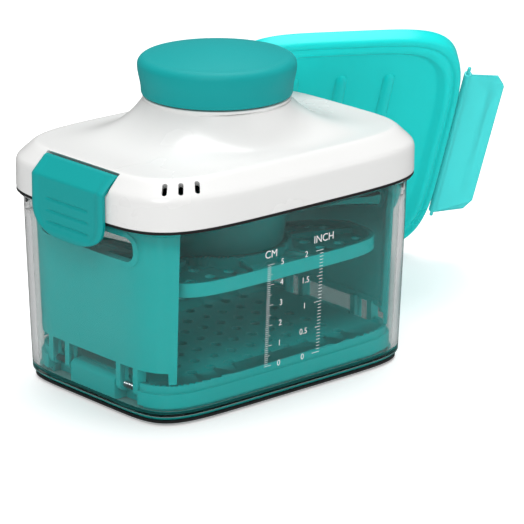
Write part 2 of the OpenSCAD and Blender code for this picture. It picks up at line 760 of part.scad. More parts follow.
module lid_liner() color(deep_teal) difference() {
    union() {
        oval_slab(liner_a, liner_b, top_power, liner_z, liner_t);
        hole(column_r + guide_gap + key_out + 2.2, liner_z - guide_drop, guide_drop + liner_t);
    }
    hole(column_r + guide_gap, liner_z - guide_drop - cut, guide_drop + liner_t + 2 * cut);
    for (s = [-1, 1]) translate([s * column_r, 0, 0])
        block(2 * (key_out + guide_gap), key_w + 2 * guide_gap, liner_z - guide_drop - cut,
            guide_drop + liner_t + 2 * cut);
    for (sx = [-1, 1], sy = [-1, 1]) translate([sx * post_x, sy * post_y, 0])
        hole(fixing_r + 0.15, liner_z - cut, liner_t + 2 * cut);
    for (i = [0:2]) translate(vent_at + i * vent_step) hole(vent_r, liner_z - cut, liner_t + 2 * cut);
}

module liner_screws() color(steel) for (sx = [-1, 1], sy = [-1, 1])
    translate([sx * post_x, sy * post_y, 0]) {
        hole(fixing_r - 0.12, liner_z - 0.01, liner_t + liner_screw_reach);
        hole(head_r, liner_z - head_h, head_h);
    }

module lid_gasket() color(black)
    oval_band(half_l(rim_z, -collar_in), half_w(rim_z, -collar_in), top_power, tub_wall, rim_z + 0.02,
        gasket_t - 0.04);

// ------------------------------------------------------------------ latches
hook_in = 2.3;            // reach of the hook inside the latch
hook_w = 40;
hook_z = flange_z - fit_gap - 0.05;
bend_z = latch_z - barrel_r * cos(slope)
    - (latch_out - latch_u - barrel_r * sin(slope)) * tan(slope) + 2 * barrel_r * cos(slope);
tip_z = latch_z - latch_drop;

// side view of the latch: barrel, sloping top, bend, hanging plate and hook
module latch_side() {
    tangent = [-(latch_u + barrel_r * sin(slope)), latch_z + barrel_r * cos(slope)];
    inner = latch_t * tan(slope / 2);
    difference() {
        union() {
            translate([-latch_u, latch_z]) circle(barrel_r);
            polygon([tangent, [-latch_out + 0.9, bend_z + 0.75], [-latch_out + 0.25, bend_z + 0.05],
                [-latch_out, bend_z - 1], [-latch_out, tip_z], [-latch_out + latch_t, tip_z],
                [-latch_out + latch_t, bend_z - inner - 0.6],
                [-latch_out + latch_t + 0.6, bend_z - inner + 0.4],
                tangent + latch_t * [sin(slope), -cos(slope)] + [0.6, 0.55]]);
            polygon([[-latch_out + latch_t - cut, hook_z - 4.4], [-latch_out + latch_t, hook_z - 4.4],
                [-latch_out + latch_t + hook_in, hook_z - 1.4], [-latch_out + latch_t + hook_in, hook_z],
                [-latch_out + latch_t - cut, hook_z]]);
        }
        translate([-latch_u, latch_z]) circle(latch_pin_r + running);
    }
}

// front view of the latch: straight sides and a deep rounded end
module latch_front() {
    end_h = 14.5;
    translate([-latch_w / 2, tip_z + end_h]) square([latch_w, latch_z + barrel_r + cut - tip_z - end_h]);
    translate([0, tip_z + end_h]) scale([1, 2 * end_h / latch_w])
        circle(latch_w / 2, $fn = 96);
}

module latch() color(teal) difference() {
    intersection() {
        translate([0, latch_w / 2, 0]) rotate([90, 0, 0]) linear_extrude(latch_w) latch_side();
        along_x(-latch_out - cut, latch_out - latch_u + 2 * barrel_r) latch_front();
    }
    for (sy = [-1, 1]) translate([-latch_out + latch_t + hook_in, sy * (hook_w / 2 + latch_w / 2), 0])
        block(2 * hook_in, latch_w, hook_z - 6, 6.1);
    for (k = [0:2]) translate([-latch_out, 0, bend_z - 10 - groove_pitch * k])
        rotate([90, 0, 0]) cylinder(r = 0.7, h = groove_l, center = true);
}

module latch_pin() color(steel) translate([-latch_u, 0, latch_z]) rotate([90, 0, 0])
    cylinder(r = latch_pin_r, h = latch_w + 2 * (pocket_gap + cheek - 1.2), center = true);

// ------------------------------------------------------------ storage cover
// drawn lying flat: X across its width, Y along its length from the lower edge,
// Z towards its outer face, then stood up and leant towards the press
cover_a = lid_w / 2;
cover_b = lid_l / 2;
rim_drop = 2.4;           // the cover's edge starts to round this far below its rim
cover_edge = [[rim_drop, 0], [1.2, 0.5], [0.6, 1.4]];   // depth and inset of the rounding
cover_foot = -min([for (e = cover_edge) e[0] * sin(cover_lean) + e[1] * cos(cover_lean)]);
clip_gap = 0.5;
clip_pin_r = 0.9;
clip_barrel = 2;
clip_x = cover_a + clip_barrel + clip_gap;
clip_t = 1.8;
ear_l = 4;
pin_z = cover_h - rim_drop - clip_barrel;

// the cover leans on the lid with its rim, and its recessed panel stays clear of the lid
away = [sin(-cover_yaw), cos(-cover_yaw)];
rim_side = cover_aside - cover_a + cover_rim + 3;
function sideways(q) = q[0] * away[1] - q[1] * away[0];
function recess(q) = sideways(q) > rim_side ? cover_dip / cos(cover_lean) : 0;
lid_reach = max([for (r = lid_outside) max([for (q = r[0]) q * away - recess(q)])
    + r[1] * tan(cover_lean)]);
cover_away = lid_reach + fit_gap / cos(cover_lean) - cover_foot * tan(cover_lean);
cover_x = cover_away * away[0] + cover_aside * away[1];
cover_y = cover_away * away[1] - cover_aside * away[0];

module standing() translate([cover_x, cover_y, cover_foot]) rotate([0, 0, cover_yaw])
    rotate([90 + cover_lean, 0, 0]) translate([0, cover_b, -cover_h]) children();

function cover_ring(z, inset) = [oval(cover_a - inset, cover_b - inset, top_power), z];

module cover_shape() {
    rim = cover_rim;
    panel = cover_h - cover_dip;
    loft(concat([
        cover_ring(panel - cover_t, rim + 3.4), cover_ring(panel - cover_t, rim + 1.2),
        cover_ring(cover_h - cover_t - 0.6, rim - 1.4), cover_ring(cover_h - cover_t - 0.6, cover_t + 1.5),
        cover_ring(cover_h - cover_t - 2, cover_t + 0.1), cover_ring(0, cover_t),
        cover_ring(0, 0)], [for (e = cover_edge) cover_ring(cover_h - e[0], e[1])], [
        cover_ring(cover_h - 0.6, 3), cover_ring(cover_h - 1.3, 3.8),
        cover_ring(cover_h - 1.3, 4.6), cover_ring(cover_h - 0.5, 5.4), cover_ring(cover_h, 6.2),
        cover_ring(cover_h, rim - 1.2), cover_ring(cover_h - 0.6, rim - 0.2),
        cover_ring(panel + 0.5, rim + 1.9), cover_ring(panel, rim + 3)]));
}

rib_l = 88;
rib_gap = 24;
rib_w = 4;

module cover_ribs() for (k = [-1:1]) translate([k * rib_gap, 0, cover_h - cover_dip - 0.3])
    hull() for (s = [-1, 1]) translate([0, s * (rib_l - rib_w) / 2, 0])
        cylinder(r1 = rib_w / 2, r2 = rib_w / 2 - 0.8, h = 1.5, $fn = 24);

ear_end = clip_l / 2 + clip_gap + ear_l;
ear_root = clip_x + cover_t - 0.4
    - cover_a * pow(1 - pow(ear_end / cover_b, top_power), 1 / top_power);

module cover_ears() for (s = [-1, 1], e = [-1, 1])
    translate([s * clip_x, e * (ear_end - ear_l / 2), pin_z]) rotate([90, 0, 0])
        difference() {
            union() {
                cylinder(r = clip_barrel, h = ear_l, center = true);
                translate([s > 0 ? -ear_root : 0, -clip_barrel, -ear_l / 2])
                    cube([ear_root, 2 * clip_barrel, ear_l]);
            }
            cylinder(r = clip_pin_r + running, h = ear_l + 1, center = true);
        }

module storage_cover() color(aqua) standing() {
    cover_shape();
    cover_ribs();
    cover_ears();
}

module storage_gasket() color([0.85, 0.95, 0.94]) standing()
    oval_band(cover_a - cover_t - 0.4, cover_b - cover_t - 0.4, top_power, 3, cover_h - cover_t - 3.8, 2);

// a flat clip hinged along the cover's long side, with a hook along its outer edge
module storage_clip(s) color(aqua) standing() difference() {
    union() {
        translate([s * clip_x, 0, pin_z]) rotate([90, 0, 0])
            cylinder(r = clip_barrel, h = clip_l, center = true);
        translate([s * clip_x, 0, pin_z + clip_barrel - clip_t]) linear_extrude(clip_t)
            polygon([[0, -clip_l / 2], [s * clip_w * 0.8, -clip_l / 2 + 2], [s * clip_w, -clip_l / 2 + 9],
                [s * clip_w, clip_l / 2 - 9], [s * clip_w * 0.8, clip_l / 2 - 2], [0, clip_l / 2]]);
        translate([s * (clip_x + clip_w - 6), 0, 0])
            block(2, clip_l - 30, pin_z + clip_barrel - clip_t - 1.8, 2);
    }
    translate([s * clip_x, 0, pin_z]) rotate([90, 0, 0])
        cylinder(r = clip_pin_r + running, h = clip_l + 1, center = true);
}

module clip_pin(s) color(aqua) standing() translate([s * clip_x, 0, pin_z]) rotate([90, 0, 0])
    cylinder(r = clip_pin_r, h = 2 * ear_end, center = true);

container_body();
base_ring();
rubber_feet();
lifting_tray();
at_left() hinge_pin();  // hinge_pin_left
at_right() hinge_pin();  // hinge_pin_right
at_left() end_flap();  // end_flap_left
at_right() end_flap();  // end_flap_right
press_plate();
press_column();
press_nut();
column_screws();
spindle();
thrust_washer();
knob_core();
knob_grip();
knob_screw();
bearing_ring();
lid_shell();
lid_liner();
liner_screws();
lid_gasket();
at_left() latch();  // latch_left
at_right() latch();  // latch_right
at_left() latch_pin();  // latch_pin_left
at_right() latch_pin();  // latch_pin_right
storage_cover();
storage_gasket();
storage_clip(-1);  // storage_clip_left
storage_clip(1);  // storage_clip_right
clip_pin(-1);  // clip_pin_left
clip_pin(1);  // clip_pin_right
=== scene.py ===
# %% [markdown]
# # A tofu press
# The real object is a clear container with a lifting tray inside, a white lid with a
# round knob that drives a press plate, two latches, and a loose storage cover that
# leans on it. The CAD frame already holds every solid and joint. This script dresses
# that frame: it rebuilds the pieces that show most with finer curves, and gives each
# piece a moulded-plastic, rubber, steel or clear finish.

# %% Frame and units
import json
import math

import bmesh
import bpy
from mathutils import Matrix, Vector


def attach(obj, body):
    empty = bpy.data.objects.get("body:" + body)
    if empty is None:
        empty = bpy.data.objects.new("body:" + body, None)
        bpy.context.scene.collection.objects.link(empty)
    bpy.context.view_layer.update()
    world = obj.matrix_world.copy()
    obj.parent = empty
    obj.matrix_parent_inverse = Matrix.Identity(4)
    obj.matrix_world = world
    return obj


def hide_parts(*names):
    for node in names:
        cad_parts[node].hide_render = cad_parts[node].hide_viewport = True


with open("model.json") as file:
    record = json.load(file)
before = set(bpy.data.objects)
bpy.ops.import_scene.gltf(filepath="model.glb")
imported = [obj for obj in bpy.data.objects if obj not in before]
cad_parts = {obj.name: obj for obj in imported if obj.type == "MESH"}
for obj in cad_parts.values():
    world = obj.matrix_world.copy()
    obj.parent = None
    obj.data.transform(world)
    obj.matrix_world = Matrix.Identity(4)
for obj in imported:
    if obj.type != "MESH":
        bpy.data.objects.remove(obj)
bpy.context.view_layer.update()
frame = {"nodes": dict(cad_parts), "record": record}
MM = 0.001
scene = bpy.context.scene
scene.view_settings.view_transform = "Standard"

# %% [markdown]
# The container, the lid and the storage cover share one kind of outline: a superellipse,
# which is an oval pushed out towards a rectangle. Its power says how square it is. The
# same formula with a few driving sizes gives every ring, so the pieces nest as on the
# real object, where they come from one family of moulds.

# %% Driving sizes, in millimetres
POINTS = 240
TUB_L, TUB_W, TUB_DRAFT = 167.6, 119.8, 4.2
TUB_WALL, TUB_FLOOR = 2.4, 2.2
TUB_Z, FLANGE_Z, FLANGE_TOP, RIM_Z = 2.6, 91.9, 94.0, 98.2
BASE_POWER, RIM_POWER, TOP_POWER = 6.8, 5.4, 4.8
LID_L, LID_W, LID_WALL = 175.4, 127.0, 2.3
LID_Z, CREASE_Z, SHOULDER_Z, NECK_Z = 94.4, 110.3, 117.0, 135.2
SHOULDER_IN, NECK_R, DOME_POWER = 7.5, 35.0, 3.6


def soft(v, power):
    return math.copysign(abs(v) ** (2 / power), v)


def oval(a, b, power, n=POINTS):
    """Points round a superellipse with half sizes a and b."""
    turns = [2 * math.pi * (i + 0.5) / n for i in range(n)]
    return [(a * soft(math.cos(t), power), b * soft(math.sin(t), power)) for t in turns]


def smooth_corners(points, rounds=2):
    """Chaikin's corner cutting: an open row of points with its corners rounded off."""
    for _ in range(rounds):
        cut = [points[0]]
        for p, q in zip(points, points[1:]):
            cut.append(tuple(0.75 * a + 0.25 * b for a, b in zip(p, q)))
            cut.append(tuple(0.25 * a + 0.75 * b for a, b in zip(p, q)))
        points = cut + [points[-1]]
    return points


# %% [markdown]
# Most visible pieces are lofts: rings of points at rising heights, joined by quads. One
# helper builds them all, because a loft keeps the moulded shape exact and gives even
# quads that shade smoothly. Sharp edges are marked by angle instead of by hand.

# %% Mesh helpers
def mesh_object(name, verts, faces, sharp=35):
    """A mesh object from millimetre points, shaded smooth except over sharp edges."""
    mesh = bpy.data.meshes.new(name)
    mesh.from_pydata([Vector(v) * MM for v in verts], [], faces)
    bm = bmesh.new()
    bm.from_mesh(mesh)
    bmesh.ops.remove_doubles(bm, verts=bm.verts, dist=1e-6)
    bmesh.ops.recalc_face_normals(bm, faces=bm.faces)
    bm.to_mesh(mesh)
    bm.free()
    shade(mesh, sharp)
    obj = bpy.data.objects.new(name, mesh)
    scene.collection.objects.link(obj)
    return obj


def shade(mesh, sharp):
    mesh.polygons.foreach_set("use_smooth", [True] * len(mesh.polygons))
    mesh.set_sharp_from_angle(angle=math.radians(sharp))


def loft(name, rings, loop=False, sharp=35):
    """rings: lists of (x, y, z) with one length; loop joins the last ring to the first."""
    n, m = len(rings[0]), len(rings)
    verts = [p for ring in rings for p in ring]
    faces = []
    for j in range(m if loop else m - 1):
        up = (j + 1) % m
        for i in range(n):
            k = (i + 1) % n
            faces.append((j * n + i, j * n + k, up * n + k, up * n + i))
    if not loop:
        faces.append(tuple(range(n - 1, -1, -1)))
        faces.append(tuple((m - 1) * n + i for i in range(n)))
    return mesh_object(name, verts, faces, sharp)


def ring(outline, z):
    return [(x, y, z) for x, y in outline]


def apply_modifiers(obj):
    """Turns the evaluated object into its own plain mesh."""
    deps = bpy.context.evaluated_depsgraph_get()
    mesh = bpy.data.meshes.new_from_object(obj.evaluated_get(deps))
    obj.modifiers.clear()
    old, obj.data = obj.data, mesh
    bpy.data.meshes.remove(old)
    return obj


def carve(obj, cutter, sharp=35):
    mod = obj.modifiers.new("carve", "BOOLEAN")
    mod.operation, mod.solver, mod.object = "DIFFERENCE", "EXACT", cutter
    bpy.context.view_layer.update()
    apply_modifiers(obj)
    bpy.data.objects.remove(cutter)
    shade(obj.data, sharp)
    return obj


def join(first, *others):
    """Adds the other objects' meshes to the first one's."""
    bpy.ops.object.select_all(action="DESELECT")
    for obj in (first, *others):
        obj.select_set(True)
    bpy.context.view_layer.objects.active = first
    bpy.ops.object.join()


def cad_copy(node, sharp=28):
    """A CAD node's solid as a merged mesh that shades smoothly."""
    src = frame["nodes"][node]
    mesh = src.data.copy()
    bm = bmesh.new()
    bm.from_mesh(mesh)
    bmesh.ops.remove_doubles(bm, verts=bm.verts, dist=2e-6)
    bm.to_mesh(mesh)
    bm.free()
    if mesh.has_custom_normals:
        mesh.normals_split_custom_set([(0, 0, 0)] * len(mesh.loops))
    shade(mesh, sharp)
    mesh.materials.clear()
    obj = bpy.data.objects.new("fine_" + node, mesh)
    scene.collection.objects.link(obj)
    return obj


# %% [markdown]
# A CAD copy's bowed walls are flat facets. Where a facet lies along a superellipse, the
# true normal is the gradient of its formula, so that goes in as a custom normal and the
# wall shades as one smooth curve, however the facets are cut into triangles.

# %% Smooth normals for bowed walls
def bow_normals(obj, a, b, power):
    mesh = obj.data
    normals = [Vector(n.vector) for n in mesh.corner_normals]
    for poly in mesh.polygons:
        if abs(poly.normal.z) > 0.2:
            continue
        for k in poly.loop_indices:
            x, y, _ = mesh.vertices[mesh.loops[k].vertex_index].co / MM
            grad = Vector((math.copysign(abs(x / a) ** (power - 1), x) / a,
                           math.copysign(abs(y / b) ** (power - 1), y) / b, 0)).normalized()
            facing = grad.dot(poly.normal)
            if abs(facing) > 0.93:
                grad *= math.copysign(1, facing)
                normals[k] = Vector((grad.x, grad.y, poly.normal.z)).normalized()
    mesh.normals_split_custom_set(normals)
    return obj


# %% [markdown]
# Materials, ribs and ticks are all node trees. One helper adds a node and feeds its
# inputs, from other nodes' sockets or from plain values, and a shorter one does that for
# maths nodes. A third declares what goes in and out of a node group.

# %% Node helpers
def add_node(tree, kind, feeds=None, **settings):
    node = tree.nodes.new(kind)
    for key, value in settings.items():
        setattr(node, key, value)
    for key, value in (feeds or {}).items():
        if isinstance(value, bpy.types.NodeSocket):
            tree.links.new(value, node.inputs[key])
        else:
            node.inputs[key].default_value = value
    return node


def maths(tree, operation, *values, **settings):
    feeds = dict(enumerate(values))
    return add_node(tree, "ShaderNodeMath", feeds, operation=operation, **settings).outputs[0]


def add_sockets(tree, way, *ports):
    """Each port is a name, a kind of socket and, where it helps, a default value."""
    for name, kind, *default in ports:
        socket = tree.interface.new_socket(name, in_out=way, socket_type="NodeSocket" + kind)
        if default:
            socket.default_value = default[0]


# %% [markdown]
# Moulded plastic is never one flat colour: the surface has a faint texture from the
# mould, and its gloss wanders a little. One node group makes that for every plastic. It
# puts out a colour, a roughness and a normal, and each material plugs them into its own
# Principled shader.

# %% Moulded surface group
def moulded_group():
    g = bpy.data.node_groups.new("moulded_surface", "ShaderNodeTree")
    add_sockets(g, "INPUT", ("Colour", "Color"), ("Variation", "Float"), ("Roughness", "Float"),
                ("Grain size", "Float"), ("Grain depth", "Float"))
    add_sockets(g, "OUTPUT", ("Colour", "Color"), ("Roughness", "Float"), ("Normal", "Vector"))
    given = add_node(g, "NodeGroupInput").outputs
    where = add_node(g, "ShaderNodeTexCoord").outputs["Object"]
    broad = add_node(g, "ShaderNodeTexNoise", {"Vector": where, "Scale": 22, "Detail": 3})
    fine = add_node(g, "ShaderNodeTexNoise", {"Vector": where, "Scale": given["Grain size"], "Detail": 4})
    centred = maths(g, "SUBTRACT", broad.outputs["Fac"], 0.5)
    amount = maths(g, "MULTIPLY_ADD", centred, given["Variation"], 1)
    tint = add_node(g, "ShaderNodeVectorMath", {0: given["Colour"], "Scale": amount}, operation="SCALE")
    rough = maths(g, "MULTIPLY_ADD", centred, 0.12, given["Roughness"])
    bump = add_node(g, "ShaderNodeBump", {"Height": fine.outputs["Fac"], "Distance": 0.0004,
                                          "Strength": given["Grain depth"]})
    add_node(g, "NodeGroupOutput", {"Colour": tint.outputs[0], "Roughness": rough,
                                    "Normal": bump.outputs["Normal"]})
    return g


MOULDED = moulded_group()


def plastic(name, colour, rough, variation=0.05, grain=900, depth=0.15, **sockets):
    """An opaque moulded material; sockets set the shader's own constant inputs."""
    mat = bpy.data.materials.new(name)
    mat.use_nodes = True
    tree = mat.node_tree
    shader = tree.nodes["Principled BSDF"]
    surface = add_node(tree, "ShaderNodeGroup", {"Colour": (*colour, 1), "Variation": variation,
                                                 "Roughness": rough, "Grain size": grain,
                                                 "Grain depth": depth}, node_tree=MOULDED)
    for given, wanted in (("Colour", "Base Color"), ("Roughness", "Roughness"), ("Normal", "Normal")):
        tree.links.new(surface.outputs[given], shader.inputs[wanted])
    for key, value in sockets.items():
        shader.inputs[key.replace("_", " ")].default_value = value
    return mat


# %% [markdown]
# The finishes follow the real object: satin teal plastic, a soft-touch teal cover on the
# knob, smooth white for the lid, black and pale rubber below, and stainless pins. A
# thin clear coat gives the white plastic a little more gloss.

# %% Opaque materials
teal = plastic("teal_plastic", (0.0, 0.42, 0.40), 0.36, variation=0.06, depth=0.03,
               Specular_IOR_Level=0.3)
latch_teal = plastic("latch_teal", (0.0, 0.36, 0.355), 0.42, variation=0.05, depth=0.1,
                     Specular_IOR_Level=0.3)
grip_teal = plastic("soft_touch_teal", (0.0, 0.35, 0.355), 0.55, variation=0.05, grain=1600,
                    depth=0.2, Specular_IOR_Level=0.25)
deep_teal = plastic("column_teal", (0.0, 0.29, 0.275), 0.38, variation=0.08, Specular_IOR_Level=0.3)
white = plastic("white_plastic", (0.86, 0.86, 0.85), 0.26, variation=0.015, grain=600,
                depth=0.04, Coat_Weight=0.25, Coat_Roughness=0.12)
pale = plastic("bearing_plastic", (0.72, 0.72, 0.68), 0.45)
black = plastic("black_rubber", (0.012, 0.012, 0.013), 0.5, variation=0.2, grain=1400, depth=0.3)
foot = plastic("foot_rubber", (0.62, 0.62, 0.6), 0.6, variation=0.1, grain=1400, depth=0.3)
seal = plastic("clear_seal", (0.62, 0.72, 0.71), 0.35, Transmission_Weight=0.35)
steel = plastic("stainless", (0.6, 0.61, 0.63), 0.28, variation=0.12, grain=2500, depth=0.12,
                Metallic=1.0)
ink = plastic("white_print", (0.9, 0.9, 0.9), 0.5, variation=0.04, grain=3000)

# %% [markdown]
# Clear plastic is a refracting shader with thick walls, so the rounded corners bend the
# view as they do on the real container. Cycles would give such walls a dark shadow, so
# shadow and diffuse rays pass straight through instead, and the inside stays lit. In the
# photograph the container's far walls look dark grey-green, so a wall seen through another
# wall gets a painted shade of that colour, but not where it skims the rounded corners,
# which stay bright. Near the bottom the thick floor is painted the tray's teal out to its
# edge, a painted refraction of the tray seen through it.

# %% Clear materials
PAINTED_TEAL_HEIGHTS = (4.5, 5.1)          # the painted teal refraction on the clear floor fades out between these heights


def clear_plastic(name, colour, rough, ior, shadow_tint, body=1.0, painted_far_shade=None, painted_floor_teal=None):
    """A clear material: far colour is a painted wall shade, low colour a painted teal refraction."""
    mat = plastic(name, colour, rough, variation=0.02, depth=0.02, Transmission_Weight=body,
                  IOR=ior)
    tree = mat.node_tree
    shader, out = tree.nodes["Principled BSDF"], tree.nodes["Material Output"]
    path = add_node(tree, "ShaderNodeLightPath").outputs

    def recolour(amount, other):
        now = shader.inputs["Base Color"].links[0].from_socket
        mix = add_node(tree, "ShaderNodeMix", {"Factor": amount, 6: now, 7: (*other, 1)},
                       data_type="RGBA")
        tree.links.new(mix.outputs[2], shader.inputs["Base Color"])

    def ramp(value, start, end, first, last):
        return add_node(tree, "ShaderNodeMapRange", {"Value": value, "From Min": start, "From Max": end,
                                                     "To Min": first, "To Max": last}).outputs[0]

    # Painted shade: a wall seen through another wall takes the darker far colour, except at grazing angles
    # near the rounded corners.
    if painted_far_shade is not None:
        beyond = maths(tree, "GREATER_THAN", path["Transmission Depth"], 1.5)
        slant = add_node(tree, "ShaderNodeLayerWeight").outputs["Facing"]
        recolour(maths(tree, "MULTIPLY", beyond, ramp(slant, 0.40, 0.56, 1.0, 0.0)), painted_far_shade)
    # Painted refraction: below these heights the clear floor is painted the tray's teal and lets less light
    # through, standing in for the tray seen through it.
    if painted_floor_teal is not None:
        place = add_node(tree, "ShaderNodeNewGeometry").outputs["Position"]
        height = add_node(tree, "ShaderNodeSeparateXYZ", {0: place}).outputs["Z"]
        start, end = (z * MM for z in PAINTED_TEAL_HEIGHTS)
        recolour(ramp(height, start, end, 1.0, 0.0), painted_floor_teal)
        tree.links.new(ramp(height, start, end, 0.2, body), shader.inputs["Transmission Weight"])
    either = maths(tree, "MAXIMUM", path["Is Shadow Ray"], path["Is Diffuse Ray"])
    through = add_node(tree, "ShaderNodeBsdfTransparent", {"Color": (*shadow_tint, 1)})
    mix = add_node(tree, "ShaderNodeMixShader", {"Fac": either, 1: shader.outputs["BSDF"],
                                                 2: through.outputs["BSDF"]})
    tree.links.new(mix.outputs["Shader"], out.inputs["Surface"])
    return mat


# The grey-green far colour is a painted shade; the teal low colour is a painted refraction of the tray.
clear = clear_plastic("clear_plastic", (0.975, 0.99, 0.99), 0.03, 1.40, (0.97, 0.985, 0.985),
                      painted_far_shade=(0.27, 0.31, 0.30), painted_floor_teal=(0.0, 0.34, 0.31))
aqua = clear_plastic("aqua_plastic", (0.01, 0.86, 0.83), 0.30, 1.35, (0.62, 0.76, 0.76), body=0.25)
aqua_clip = clear_plastic("aqua_clip_plastic", (0.10, 0.92, 0.92), 0.25, 1.35, (0.65, 0.8, 0.8),
                          body=0.35)


# %% Hand-over helper
BODY = {n: b for b, names in frame["record"]["behaviour"]["bodies"].items() for n in names}


def hand_over(obj, material, *nodes, body=None, slot=None):
    obj.data.materials.clear()
    obj.data.materials.append(material)
    if nodes:
        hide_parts(*nodes)
    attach(obj, body or BODY[nodes[0]])
    return obj


# %% [markdown]
# ## Container
# One clear moulding: a rounded bottom edge, walls that flare a little for the mould's
# draft, a flange that the latches hook under and a rim that the seal rests on. It is
# lofted from the floor up the outside, over the rim and down the inside.

# %% Container
def rise(z):
    return max(0.0, min(1.0, (z - TUB_Z) / (FLANGE_Z - TUB_Z)))


def tub_sizes(z, inset):
    shrink = TUB_DRAFT * (1 - rise(z)) + inset
    power = TOP_POWER if z > FLANGE_Z else BASE_POWER + (RIM_POWER - BASE_POWER) * rise(z)
    return TUB_L / 2 - shrink, TUB_W / 2 - shrink, power


def tub_ring(z, inset):
    return ring(oval(*tub_sizes(z, inset)), z)


def bottom_rings(z, inset):
    """The quarter-round between a flat bottom and the wall, from the bottom up."""
    return [tub_ring(z + TUB_ROUND * (1 - math.cos(t)), inset + TUB_ROUND * (1 - math.sin(t)))
            for t in [math.radians(90 * i / 8) for i in range(9)]]


TUB_ROUND, FLANGE_OUT, COLLAR_IN, EDGE = 3.0, 3.1, 0.8, 0.5
wall_z = [TUB_Z + 12 + 11 * i for i in range(7)]
outside = bottom_rings(TUB_Z, 0) + [tub_ring(z, 0) for z in wall_z]
inside = [tub_ring(z, TUB_WALL) for z in reversed(wall_z)]
inside += reversed(bottom_rings(TUB_Z + TUB_FLOOR, TUB_WALL))
flange = [tub_ring(FLANGE_Z - 0.4, 0), tub_ring(FLANGE_Z, -0.4)]
flange += [tub_ring(FLANGE_Z + 0.1, 0.8 - FLANGE_OUT), tub_ring(FLANGE_Z + EDGE, 0.1 - FLANGE_OUT),
           tub_ring(FLANGE_Z + 2 * EDGE, -FLANGE_OUT), tub_ring(FLANGE_TOP - EDGE, -FLANGE_OUT),
           tub_ring(FLANGE_TOP, EDGE - FLANGE_OUT), tub_ring(FLANGE_TOP + 0.05, -COLLAR_IN),
           tub_ring(RIM_Z - EDGE, -COLLAR_IN), tub_ring(RIM_Z, EDGE - COLLAR_IN),
           tub_ring(RIM_Z + 0.01, TUB_WALL - COLLAR_IN - EDGE),
           tub_ring(RIM_Z - EDGE, TUB_WALL - COLLAR_IN), tub_ring(FLANGE_TOP, TUB_WALL - COLLAR_IN),
           tub_ring(FLANGE_Z, TUB_WALL)]
container = loft("container", outside + flange + inside, sharp=50)
hand_over(container, clear, "container_body")
print("container faces", len(container.data.polygons))

# %% [markdown]
# ## Lid shell
# The white lid has an upright skirt, a soft crease, a sloping shoulder and a dome that
# rises into a round neck. Between the shoulder and the neck each ring is a blend of the
# oval outline and a circle, which is how such a moulding changes from one to the other.

# %% Lid shell
def lid_outline(inset):
    return oval(LID_L / 2 - inset, LID_W / 2 - inset, TOP_POWER)


def dome_ring(t, inset):
    edge = lid_outline(SHOULDER_IN + inset)
    r = NECK_R - inset
    blended = []
    for x, y in edge:
        length = math.hypot(x, y)
        blended.append(((1 - t) * x + t * r * x / length, (1 - t) * y + t * r * y / length))
    z = SHOULDER_Z + (NECK_Z - 2 - SHOULDER_Z) * t ** DOME_POWER - inset * (1 - t * t)
    return ring(blended, z)


skirt = [(0.3, LID_Z), (0.05, LID_Z + 0.5), (0, LID_Z + 1.2), (0.0, CREASE_Z - 4.5)]
shoulder = smooth_corners([(0.0, CREASE_Z - 4.4), (0.05, CREASE_Z - 3.0), (0.35, CREASE_Z - 1.6),
                           (0.95, CREASE_Z - 0.4), (1.7, CREASE_Z + 0.5), (4.2, CREASE_Z + 3.2),
                           (SHOULDER_IN - 1.2, SHOULDER_Z - 1.2),
                           (SHOULDER_IN + 0.4, SHOULDER_Z - 0.1), (SHOULDER_IN + 2.2, SHOULDER_Z)])
steps = [1 - (1 - i / 44) ** 1.6 for i in range(3, 44)]        # closer together near the neck
neck = [(NECK_R, NECK_Z - 1.2), (NECK_R, NECK_Z - 0.3), (NECK_R - 0.3, NECK_Z)]
lid_rings = [ring(lid_outline(d), z) for d, z in skirt + shoulder]
lid_rings += [dome_ring(t, 0) for t in steps if t > 0.045]
lid_rings += [ring(oval(r, r, 2), z) for r, z in neck]
lid_rings += [ring(oval(NECK_R - LID_WALL, NECK_R - LID_WALL, 2), z)
              for z in (NECK_Z, NECK_Z - 2.4)]
lid_rings += [dome_ring(t, LID_WALL) for t in reversed(steps[::3])]
lid_rings += [ring(lid_outline(SHOULDER_IN + LID_WALL - 0.6), SHOULDER_Z - LID_WALL - 1),
              ring(lid_outline(LID_WALL + 1.4), CREASE_Z - LID_WALL + 0.6),
              ring(lid_outline(LID_WALL), CREASE_Z - 4), ring(lid_outline(LID_WALL), LID_Z)]
lid = loft("lid_shell_fine", lid_rings, loop=True, sharp=50)

# %% [markdown]
# The latches lie in pockets in the lid's ends, and three pouring slots fan round one
# corner of the shoulder. Both are cut from the loft with Boolean modifiers, as a mould's
# inserts would leave them out.

# %% Lid pockets and slots
LATCH_U, LATCH_Z, LATCH_OUT, BARREL_R = 81.341, 113.001, 90.2, 2.6
SLOPE = math.atan2(SHOULDER_Z - CREASE_Z, SHOULDER_IN - 0.5)
LATCH_W, POCKET_GAP = 52.0, 0.4


def prism(name, outline, half_w):
    """A solid from an outline in X and Z, spread along Y."""
    n = len(outline)
    verts = [(x, -half_w, z) for x, z in outline] + [(x, half_w, z) for x, z in outline]
    faces = [tuple(range(n)), tuple(range(2 * n - 1, n - 1, -1))]
    faces += [(i, n + i, n + (i + 1) % n, (i + 1) % n) for i in range(n)]
    return mesh_object(name, verts, faces)


def turned(x, z, angle):
    return (x * math.cos(angle) - z * math.sin(angle), x * math.sin(angle) + z * math.cos(angle))


pocket_r, mouth_w, mouth_h = BARREL_R + 2 * POCKET_GAP, 14, 9
for side in (-1, 1):
    arc = [(pocket_r * math.cos(t), pocket_r * math.sin(t)) for t in
           [math.radians(180 + 180 * i / 24) + SLOPE for i in range(25)]]
    mouth = [turned(x, z, SLOPE) for x, z in ((pocket_r + 0.3, mouth_h), (-mouth_w, mouth_h),
                                              (-mouth_w, -0.1), (-pocket_r, -0.1))]
    outline = [(side * (LATCH_U - x), z + LATCH_Z) for x, z in (arc + mouth)[::side]]
    carve(lid, prism("pocket", outline, LATCH_W / 2 + POCKET_GAP), sharp=50)

